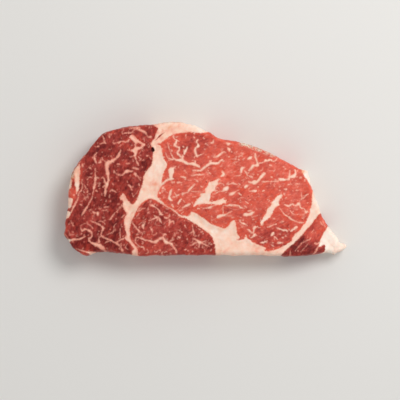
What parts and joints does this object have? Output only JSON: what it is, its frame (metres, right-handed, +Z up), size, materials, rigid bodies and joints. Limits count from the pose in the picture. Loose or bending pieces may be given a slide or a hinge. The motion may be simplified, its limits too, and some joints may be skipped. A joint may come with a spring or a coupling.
{
  "type": "raw beef steak",
  "caption": "Thick slice of raw boneless ribeye: marbled lean muscles divided by a forked seam of cream fat, a fat cap above and a thin tail of fat at one end, lying flat on its underside.",
  "frame": {"origin": "middle of the underside of the slice's bounding box, on the surface it lies on", "axes": "+X along the slice towards the thin tail of fat, +Y towards the fat cap, +Z up through the thickness"},
  "size_m": [0.1686, 0.08, 0.0232],
  "materials": {
    "beef": "moist raw meat, satin, with marbling of cream fat"
  },
  "bodies": {
    "root": {"steak": "beef"}
  },
  "joints": []
}
